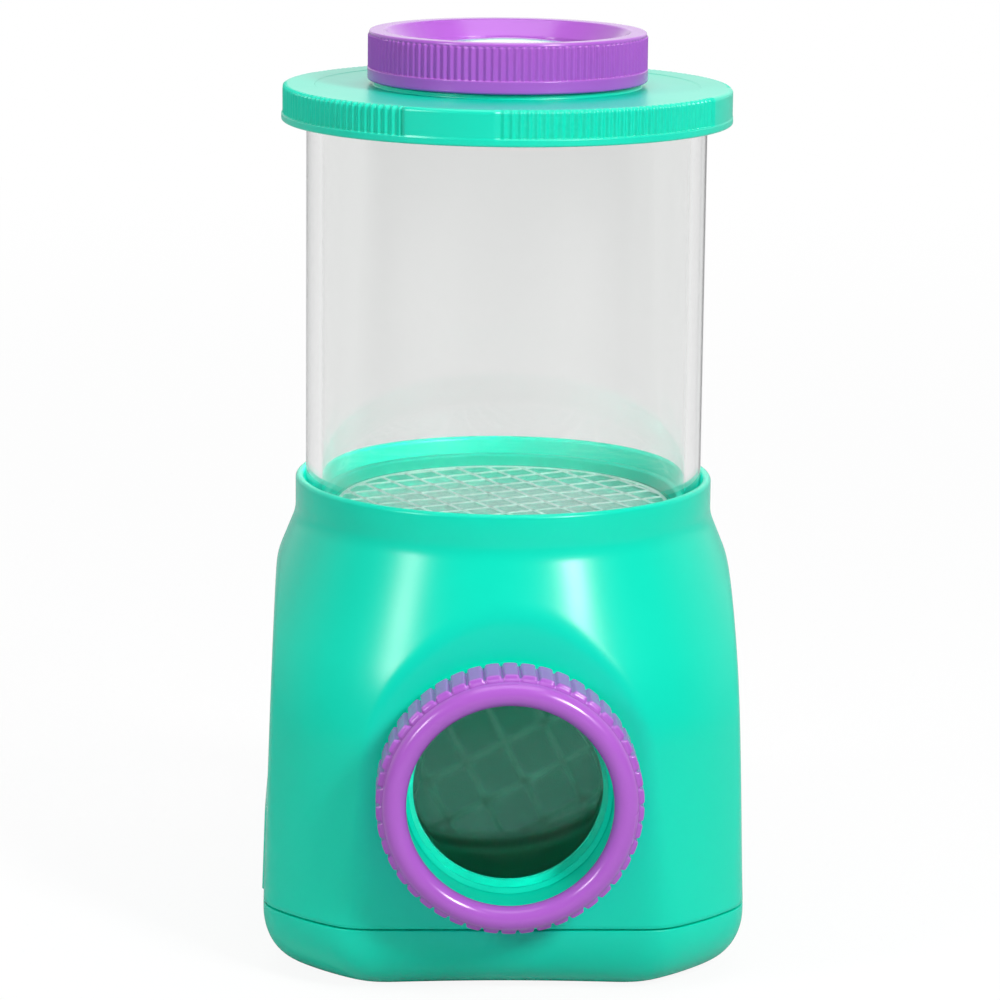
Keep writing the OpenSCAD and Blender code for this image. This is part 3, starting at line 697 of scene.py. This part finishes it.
def make_pan():
    rings, verts, faces = pan_shell()
    # The innermost rows of the underside and of the floor are closed with a face each
    inner = next(i for i, ring in enumerate(rings) if ring[0][1] == PAN_FLOOR_T) * BASE_COLUMNS
    faces = [f for f in faces if not inner - BASE_COLUMNS <= f[0] < inner]
    faces.append(tuple(range(inner - BASE_COLUMNS, inner)))
    faces.append(tuple(range(inner, inner + BASE_COLUMNS)))
    pan = build("pan_tray", verts, faces, "teal")
    steps = [
        (HEAD_HOLE_R, -1.0),
        (HEAD_HOLE_R, HEAD_HOLE_T),
        (POST_BORE_R, HEAD_HOLE_T),
        (POST_BORE_R, PAN_FLOOR_T + 1),
    ]
    sides = stack_faces(len(steps), SCREW_HOLE_COLUMNS)
    cutters = []
    for x, y in POST_PLACES + CRADLE_PLACES:
        place = upright_at(x, y)
        points = [place(r, a, z) for r, z in steps for a in even(SCREW_HOLE_COLUMNS)]
        cutters.append(build("pan_cutter", points, sides, "teal"))
    carve(pan, join("pan_cutters", cutters))
    pillar = rounded([
        (POST_BORE_R, PAN_FLOOR_T - 0.5, 0.0, 0),
        (POST_R, PAN_FLOOR_T - 0.5, 0.0, 0),
        (POST_R, PAN_H, 0.3, 0),
        (POST_BORE_R, PAN_H, 0.1, 0),
    ])
    pillars = [
        turned("pan_pillar", pillar, "teal", even(POST_COLUMNS), place=upright_at(x, y))
        for x, y in POST_PLACES
    ]
    whole = join("moulded_pan", [pan, *pillars])
    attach(whole, "base")
    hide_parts("bottom_pan")


def rib_angles(start, ribs, pitch, samples):
    return [start + (i + k / samples) * pitch for i in range(ribs) for k in range(samples)]


def lid_angles():
    """Columns round the lid: close together on the ribs and at the panels' edges."""
    pitch = (math.pi / 2 - LID_PANEL) / LID_RIBS
    angles = []
    for q in range(4):
        start = q * math.pi / 2 - math.pi / 2 + LID_PANEL_TURN - LID_PANEL / 2
        angles += [start + LID_PANEL * k / 28 for k in range(28)]
        angles += rib_angles(start + LID_PANEL, LID_RIBS, pitch, 8)
    return angles


def lid_depth(angle):
    """How deep the lid's rim is cut at an angle: nought on a smooth panel, a rounded valley between ribs."""
    quarter = (angle + math.pi / 2 - LID_PANEL_TURN + LID_PANEL / 2) % (math.pi / 2)
    if quarter < LID_PANEL:
        edge = min(quarter, LID_PANEL - quarter) * LID_R
        return LID_PANEL_PROUD * 0.5 * (1 - ease(edge / 0.5))
    u = (quarter - LID_PANEL) / (math.pi / 2 - LID_PANEL) * LID_RIBS % 1
    ridge = (0.5 - 0.5 * math.cos(2 * math.pi * u)) ** 1.6
    return LID_PANEL_PROUD + LID_RIB_T * (1 - ridge)


def make_lid():
    outer = LID_R + LID_PANEL_PROUD
    band_z = LID_Z + LID_BAND_H
    profile = rounded([
        (LID_SKIRT_R, LID_Z, 0.3, 0),
        (outer + BAND_PROUD, LID_Z, 0.4, 0),
        (outer + BAND_PROUD, band_z, 0.1, 0),
        (outer, band_z + 0.35, 0.1, 1),
        (outer, LID_TOP_Z, 0.8, 1),
        (outer - 2.2, LID_TOP_Z, 0.0, 0),
        (LID_FIELD_R, LID_TOP_Z, 0.15, 0),
        (LID_FIELD_R - 0.25, LID_TOP_Z - LID_FIELD_T, 0.1, 0),
        (LID_SEAT_R, LID_TOP_Z - LID_FIELD_T, 0.25, 0),
        (LID_SEAT_R, LID_TOP_Z + LID_SEAT_H, 0.3, 0),
        (LID_NECK_R, LID_TOP_Z + LID_SEAT_H, 0.15, 0),
        (LID_NECK_R, LID_TOP_Z + LID_NECK_H, 0.2, 0),
        (LID_NECK_R - LID_NECK_WALL, LID_TOP_Z + LID_NECK_H, 0.2, 0),
        (LID_NECK_R - LID_NECK_WALL, LID_TOP_Z, 0.15, 0),
        (LID_WINDOW_R, LID_TOP_Z, 0.3, 0),
        (LID_WINDOW_R, LID_UNDER_Z, 0.3, 0),
        (LID_SKIRT_R, LID_UNDER_Z, 0.3, 0),
    ])
    lid = turned("ribbed_lid", profile, "lid", lid_angles(), lid_depth)
    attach(lid, "lid")
    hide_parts("jar_lid")


def cap_depth(angle):
    """How deep the cap's rim is cut at an angle: even fine ribs all round."""
    u = angle / (2 * math.pi) * CAP_RIBS % 1
    return CAP_RIB_T * (1 - (0.5 - 0.5 * math.cos(2 * math.pi * u)) ** 1.1)


def make_cap():
    profile = rounded([
        (CAP_SKIRT_R, CAP_Z, 0.3, 0),
        (CAP_R + BAND_PROUD, CAP_Z, 0.5, 0),
        (CAP_R + BAND_PROUD, CAP_Z + CAP_BAND_H, 0.15, 0),
        (CAP_R, CAP_Z + CAP_BAND_H + 0.3, 0.1, 1),
        (CAP_R, CAP_TOP_Z - 1.0, 0.1, 1),
        (CAP_LIP_R, CAP_TOP_Z - 0.7, 0.0, 0),
        (CAP_LIP_R, CAP_TOP_Z, 0.45, 0),
        (CAP_MOUTH_R, CAP_TOP_Z, 0.9, 0),
        (CAP_WINDOW_R, CAP_DISH_Z, 0.4, 0),
        (CAP_WINDOW_R, CAP_FLANGE_Z, 0.2, 0),
        (CAP_LENS_BORE_R, CAP_FLANGE_Z, 0.1, 0),
        (CAP_LENS_BORE_R, CAP_RECESS_Z, 0.2, 0),
        (CAP_SKIRT_R, CAP_RECESS_Z, 0.3, 0),
    ])
    angles = rib_angles(0, CAP_RIBS, 2 * math.pi / CAP_RIBS, 10)
    cap = turned("ribbed_cap", profile, "purple", angles, cap_depth)
    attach(cap, "cap")
    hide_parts("magnifier_cap")


def pad_depth(angle):
    """How deep the port ring is cut at an angle: low crowned pads with a narrow groove between each two."""
    u = angle / (2 * math.pi) * PORT_PADS % 1
    near = min(u, 1 - u)
    from_groove = near * 2 * math.pi * PORT_RING_R / PORT_PADS
    groove = 1 - ease((from_groove - PORT_GROOVE_HALF_W) / PORT_GROOVE_SIDE_W)
    return PORT_GROOVE_T * groove + PORT_PAD_CROWN * (1 - 2 * near) ** 4


def make_port_ring():
    bead_out = PORT_REACH - PORT_BEAD_R
    bead_ring = PORT_HOLE_R + PORT_BEAD_R
    bead = [
        (bead_ring + PORT_BEAD_R * math.cos(t), bead_out + PORT_BEAD_R * math.sin(t), 0)
        for t in (math.radians(-12 + 192 * k / 30) for k in range(31))
    ]
    pads = rounded([
        (PORT_BORE_R, PORT_BACK, 0.2, 0),
        (PORT_RING_R, PORT_BACK, 0.35, 1),
        (PORT_RING_R, bead_out - 1.0, 0.5, 1),
        (bead_ring + PORT_BEAD_R - 0.12, bead_out - 0.55, 0.0, 0),
        (PORT_HOLE_R, bead_out, 0.0, 0),
        (PORT_HOLE_R, PORT_SHELF, 0.15, 0),
        (PORT_BORE_R, PORT_SHELF, 0.1, 0),
    ])
    here = pads.index((PORT_HOLE_R, bead_out, 0))
    ring = turned(
        "ribbed_port_ring", pads[:here] + bead + pads[here + 1:], "purple",
        rib_angles(0, PORT_PADS, 2 * math.pi / PORT_PADS, 16), pad_depth, on_port,
    )
    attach(ring, "port_ring")
    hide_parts("port_ring")


def make_lens(node, body, material, place, radius, dome_r, front, edge, rises):
    """A lens with a flat rim and round faces. rises are the heights of its front and back faces."""
    angles = even(ROUND_COLUMNS)
    profile = []
    for side, rise in zip((1, -1), rises):
        rim_z = front if side > 0 else front - edge
        half = []
        for k in range(LENS_RINGS):
            r = dome_r * (k + 1) / LENS_RINGS
            half.append((r, rim_z + side * rise * (1 - (r / dome_r) ** 2)))
        half += [(radius - 0.1, rim_z), (radius, rim_z - side * 0.1)]
        profile += half if side > 0 else reversed(half)
    verts = [place(r, a, z) for r, z in profile for a in angles]
    faces = ring_faces(len(profile), len(angles), close=False)
    last = len(verts) - len(angles)
    for first, pole_z in ((0, front + rises[0]), (last, front - edge - rises[1])):
        pole = len(verts)
        verts.append(place(0.0, 0.0, pole_z))
        faces += [(first + k, first + (k + 1) % len(angles), pole) for k in range(len(angles))]
    lens = build(f"turned_{node}", verts, faces, material)
    lens.visible_shadow = False
    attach(lens, body)
    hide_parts(node)


def make_floor_ring():
    top = RING_Z + RING_FLANGE_T + SPIGOT_H
    ring = turned("turned_floor_ring", rounded([
        (FLOOR_R - FLOOR_LIP_W, RING_Z, 0.2, 0),
        (JAR_R, RING_Z, 0.3, 0),
        (JAR_R, RING_Z + RING_FLANGE_T, 0.2, 0),
        (SPIGOT_R, RING_Z + RING_FLANGE_T, 0.1, 0),
        (SPIGOT_R, top, 0.3, 0),
        (FLOOR_R, top, 0.5, 0),
        (FLOOR_R, RING_Z + FLOOR_LIP_T, 0.1, 0),
        (FLOOR_R - FLOOR_LIP_W, RING_Z + FLOOR_LIP_T, 0.2, 0),
    ]), "seat", even(256))
    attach(ring, "jar")
    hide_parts("floor_ring")


def make_grid():
    """The raised square grid on the jar's floor, each line clipped to the disc."""
    lines = []
    low = FLOOR_TOP_Z - 0.02
    high = FLOOR_TOP_Z + GRID_LINE_T
    half_lines = int(GRID_REACH / GRID_PITCH)
    for turn in (GRID_TURN, GRID_TURN + math.pi / 2):
        for i in range(-half_lines, half_lines + 1):
            off = i * GRID_PITCH
            reach = math.sqrt(GRID_REACH ** 2 - off ** 2)
            start = (-reach, off - GRID_LINE_W / 2, low)
            end = (reach, off + GRID_LINE_W / 2, high)
            lines.append(box_piece("grid_line", start, end, turn, "grid"))
    rim = turned("grid_rim", rounded([
        (GRID_REACH - GRID_RIM_HALF_W, low, 0.0, 0), (GRID_REACH + GRID_RIM_HALF_W, low, 0.0, 0),
        (GRID_REACH + GRID_RIM_HALF_W, high, 0.05, 0), (GRID_REACH - GRID_RIM_HALF_W, high, 0.05, 0),
    ], support=0.02), "grid", even(ROUND_COLUMNS))
    grid = join("floor_grid", [rim, *lines])
    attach(grid, "jar")


def thread(name, radius, out, start, body, material):
    """A helical ridge round the jar's axis that fades at both ends. out is negative on an inside wall."""
    count = round(THREAD_TURNS * THREAD_COLUMNS)
    bed = 0.1 if out > 0 else -0.1
    verts = []
    for i in range(count + 1):
        t = i / count
        angle = start + t * THREAD_TURNS * 2 * math.pi
        rise = out * ease(t * 10) * ease((1 - t) * 10)
        z = THREAD_Z + t * THREAD_TURNS * THREAD_PITCH
        for r, up in (
            (radius - bed, 0),
            (radius + rise * 0.15, 0.05),
            (radius + rise, 0.38),
            (radius + rise, 0.62),
            (radius + rise * 0.15, 0.95),
            (radius - bed, 1),
        ):
            verts.append(upright(r, angle, z + up * THREAD_W))
    piece = build(name, verts, stack_faces(count + 1, len(verts) // (count + 1)), material)
    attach(piece, body)


def screw_head(cx, cy, low, length):
    """A pan-head screw, head down, with a cross recess pressed into its underside."""
    angles = even(POST_COLUMNS)
    rows = []
    for k in range(10, 0, -1):
        r = SCREW_HEAD_R * k / 10
        row = []
        for a in angles:
            x = abs(r * math.cos(a))
            y = abs(r * math.sin(a))
            in_cross = min(x, y) < CROSS_HALF_W and max(x, y) < CROSS_REACH
            crown = SCREW_CROWN * (r / SCREW_HEAD_R) ** 2
            dent = CROSS_T if in_cross else 0.0
            row.append((cx + r * math.cos(a), cy + r * math.sin(a), low + crown + dent))
        rows.append(row)
    top = low + SCREW_HEAD_H
    shank = [
        (SCREW_HEAD_R, top),
        (SCREW_SHANK_R, top),
        (SCREW_SHANK_R, top + length - SCREW_TIP_H),
        (SCREW_TIP_R, top + length),
    ]
    place = upright_at(cx, cy)
    rings = list(reversed(rows)) + [[place(r, a, z) for a in angles] for r, z in shank]
    verts = [p for ring in rings for p in ring]
    return build("screw", verts, stack_faces(len(rings), len(angles)), "steel")


def make_screws(node, places, length):
    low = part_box(node)[0].z / MM
    whole = join(f"{node}_crossed", [screw_head(x, y, low, length) for x, y in places])
    for face in whole.data.polygons:
        face.use_smooth = False
    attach(whole, "base")
    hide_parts(node)


make_housing()
make_pan()
make_port_ring()
make_lens(
    "port_lens", "base", "port_lens", on_port,
    PORT_LENS_R, PORT_LENS_DOME_R, PORT_LENS_FRONT, PORT_LENS_EDGE, PORT_LENS_RISES,
)
make_lens(
    "top_lens", "cap_lens", "lens", upright,
    TOP_LENS_R, TOP_LENS_DOME_R, TOP_LENS_Z + TOP_LENS_EDGE, TOP_LENS_EDGE, TOP_LENS_RISES,
)
make_floor_ring()
make_grid()
make_lid()
make_cap()
thread("jar_thread", JAR_R, JAR_THREAD_OUT, JAR_THREAD_START, "jar", "tube")
thread("lid_thread", LID_SKIRT_R, LID_THREAD_OUT, LID_THREAD_START, "lid", "lid")
make_screws("pan_screws", POST_PLACES, PAN_SCREW_L)
make_screws("cradle_screws", CRADLE_PLACES, CRADLE_SCREW_L)

DRESS = {
    "port_barrel": "teal", "port_lens_retainer": "teal", "top_lens_retainer": "purple",
    "jar_tube": "tube", "jar_floor": "floor",
    "mirror_cradle": "cradle", "lid_liner": "foam", "mirror_glass": "mirror",
}
for node_name, key in DRESS.items():
    obj = NODES[node_name]
    obj.data.materials.clear()
    obj.data.materials.append(MATS[key])

# Clear plastic lets the lamps through, as it does in life
for piece_name in ("jar_tube", "jar_floor"):
    NODES[piece_name].visible_shadow = False

# Camera

CAM_DISTANCE = 0.8449
CAM_HEIGHT = 0.2662
CAM_PITCH = 11.79
PORT_TURN = 2.0
AIM_OFF = 3 / 4225
ROLL = 0.62
LENS_MM = 152.1

cam_data = bpy.data.cameras.new("photo_camera")
cam_data.lens = LENS_MM
cam_data.sensor_width = 36.0
cam_data.clip_start = 0.01
cam_data.clip_end = 50.0
camera = bpy.data.objects.new("photo_camera", cam_data)
bpy.context.scene.collection.objects.link(camera)
turn = math.radians(PORT_TURN)
place = Vector((-CAM_DISTANCE * math.sin(turn), -CAM_DISTANCE * math.cos(turn), CAM_HEIGHT))
camera.matrix_world = (
    Matrix.Translation(place)
    @ Matrix.Rotation(-turn + AIM_OFF, 4, "Z")
    @ Matrix.Rotation(math.radians(90 - CAM_PITCH), 4, "X")
    @ Matrix.Rotation(math.radians(ROLL), 4, "Z")
)
bpy.context.scene.camera = camera

# Floor, world and lamps

WHITE = (1, 1, 1, 1)
ROOM = (0.93, 0.96, 1, 1)
ROOM_STRENGTH = 0.25
FLOOR_GREY = 0.55
FLOOR_PALER = 0.35
FLOOR_HALF = 3.0
FLOOR_DROP = 0.0002
NEAR_WHITE = 0.92


def combine(tree, how, a, b):
    """A math node on two outputs, or on an output and a number."""
    node = tree.nodes.new("ShaderNodeMath")
    node.operation = how
    for socket, source in zip(node.inputs, (a, b)):
        if isinstance(source, float):
            socket.default_value = source
        else:
            tree.links.new(source, socket)
    return node.outputs[0]


def smooth_share(tree, source, none, full, low=0.0):
    """Rises smoothly from low to 1 as the source goes from none to full."""
    share = tree.nodes.new("ShaderNodeMapRange")
    share.interpolation_type = "SMOOTHSTEP"
    share.inputs["From Min"].default_value = none
    share.inputs["From Max"].default_value = full
    share.inputs["To Min"].default_value = low
    tree.links.new(source, share.inputs["Value"])
    return share.outputs["Result"]


def backdrop_rays(tree, glossy_share):
    """1 on rays straight from the camera or through clear parts, and 1 on mirrored rays.

    Both are 0 once a ray has left a matt surface, so the backdrop adds no light to the object."""
    path = tree.nodes.new("ShaderNodeLightPath")
    through = path.outputs["Is Transmission Ray"]
    no_matt = combine(tree, "LESS_THAN", path.outputs["Diffuse Depth"], 0.5)
    no_mirror = combine(tree, "LESS_THAN", path.outputs["Glossy Depth"], 0.5)
    through_clear = combine(tree, "MULTIPLY", through, no_mirror)
    straight = combine(tree, "MAXIMUM", path.outputs["Is Camera Ray"], through_clear)
    glossy = combine(tree, "MULTIPLY", path.outputs["Is Glossy Ray"], glossy_share)
    mirrored = combine(tree, "MAXIMUM", through, glossy)
    return combine(tree, "MULTIPLY", straight, no_matt), combine(tree, "MULTIPLY", mirrored, no_matt)


def backdrop_share(tree):
    """1 towards the white backdrop behind the object, 0 towards the room in front and overhead."""
    split = tree.nodes.new("ShaderNodeSeparateXYZ")
    tree.links.new(tree.nodes.new("ShaderNodeTexCoord").outputs["Generated"], split.inputs[0])
    behind = smooth_share(tree, split.outputs["Y"], -0.25, 0.35)
    low = smooth_share(tree, split.outputs["Z"], 0.85, 0.55)
    return combine(tree, "MULTIPLY", behind, low)


def make_world():
    world = bpy.data.worlds.new("studio")
    bpy.context.scene.world = world
    world.use_nodes = True
    tree = world.node_tree
    tree.nodes.clear()
    straight, mirrored = backdrop_rays(tree, 0.9)
    mirrored = combine(tree, "MULTIPLY", mirrored, backdrop_share(tree))
    out = tree.nodes.new("ShaderNodeOutputWorld")
    mixer = tree.nodes.new("ShaderNodeMixShader")
    soft = tree.nodes.new("ShaderNodeBackground")
    soft.inputs["Color"].default_value = ROOM
    soft.inputs["Strength"].default_value = ROOM_STRENGTH
    white = tree.nodes.new("ShaderNodeBackground")
    white.inputs["Color"].default_value = WHITE
    white.inputs["Strength"].default_value = 1.0
    tree.links.new(combine(tree, "MAXIMUM", straight, mirrored), mixer.inputs[0])
    tree.links.new(soft.outputs[0], mixer.inputs[1])
    tree.links.new(white.outputs[0], mixer.inputs[2])
    tree.links.new(mixer.outputs[0], out.inputs["Surface"])


def make_floor():
    """A grey table that the camera sees white. A small share stays lit by the lamps and keeps the shadow."""
    mesh = bpy.data.meshes.new("studio_floor")
    corners = [(x * FLOOR_HALF, y * FLOOR_HALF, 0) for x, y in ((-1, -1), (1, -1), (1, 1), (-1, 1))]
    mesh.from_pydata(corners, [], [(0, 1, 2, 3)])
    floor = bpy.data.objects.new("studio_floor", mesh)
    floor.location.z = -FLOOR_DROP
    bpy.context.scene.collection.objects.link(floor)
    mat = bpy.data.materials.new("floor_white")
    mat.use_nodes = True
    tree = mat.node_tree
    tree.nodes.clear()
    out = tree.nodes.new("ShaderNodeOutputMaterial")
    straight, mirrored = backdrop_rays(tree, 0.3)
    place = tree.nodes.new("ShaderNodeNewGeometry").outputs["Position"]
    split = tree.nodes.new("ShaderNodeSeparateXYZ")
    tree.links.new(place, split.inputs[0])
    distance = tree.nodes.new("ShaderNodeVectorMath")
    distance.operation = "LENGTH"
    tree.links.new(place, distance.inputs[0])
    behind = smooth_share(tree, split.outputs["Y"], -0.03, 0.12)
    mirrored = combine(tree, "MULTIPLY", mirrored, behind)
    away = smooth_share(tree, distance.outputs["Value"], 0.1, 1.2, NEAR_WHITE)
    seen = combine(tree, "MULTIPLY", straight, away)
    grey = combine(tree, "ADD", combine(tree, "MULTIPLY", straight, FLOOR_PALER), FLOOR_GREY)
    diffuse = tree.nodes.new("ShaderNodeBsdfDiffuse")
    tree.links.new(grey, diffuse.inputs["Color"])
    glow = tree.nodes.new("ShaderNodeEmission")
    glow.inputs["Color"].default_value = WHITE
    glow.inputs["Strength"].default_value = 1.0
    mixer = tree.nodes.new("ShaderNodeMixShader")
    tree.links.new(combine(tree, "MAXIMUM", seen, mirrored), mixer.inputs[0])
    tree.links.new(diffuse.outputs[0], mixer.inputs[1])
    tree.links.new(glow.outputs[0], mixer.inputs[2])
    tree.links.new(mixer.outputs[0], out.inputs["Surface"])
    mesh.materials.append(mat)


def softbox(name, place, aim, size, power, through_glass=True):
    data = bpy.data.lights.new(name, "AREA")
    data.shape = "RECTANGLE"
    data.size, data.size_y = size
    data.energy = power
    lamp = bpy.data.objects.new(name, data)
    lamp.location = place
    lamp.rotation_euler = (Vector(aim) - Vector(place)).to_track_quat("-Z", "Y").to_euler()
    lamp.visible_transmission = through_glass
    bpy.context.scene.collection.objects.link(lamp)


make_world()
make_floor()
MIDDLE = (0, 0, 0.09)
softbox("key_right", (0.60, -0.76, 0.72), MIDDLE, (0.20, 0.28), 10.6)
softbox("fill_left", (-0.82, -0.62, 0.56), MIDDLE, (0.18, 0.26), 4.0)
softbox("top", (0, -0.10, 1.1), MIDDLE, (0.8, 0.8), 4.8, through_glass=False)
softbox("back", (0.10, 0.95, 0.60), MIDDLE, (1.0, 0.6), 0.9, through_glass=False)

scene = bpy.context.scene
scene.view_settings.view_transform = "Standard"
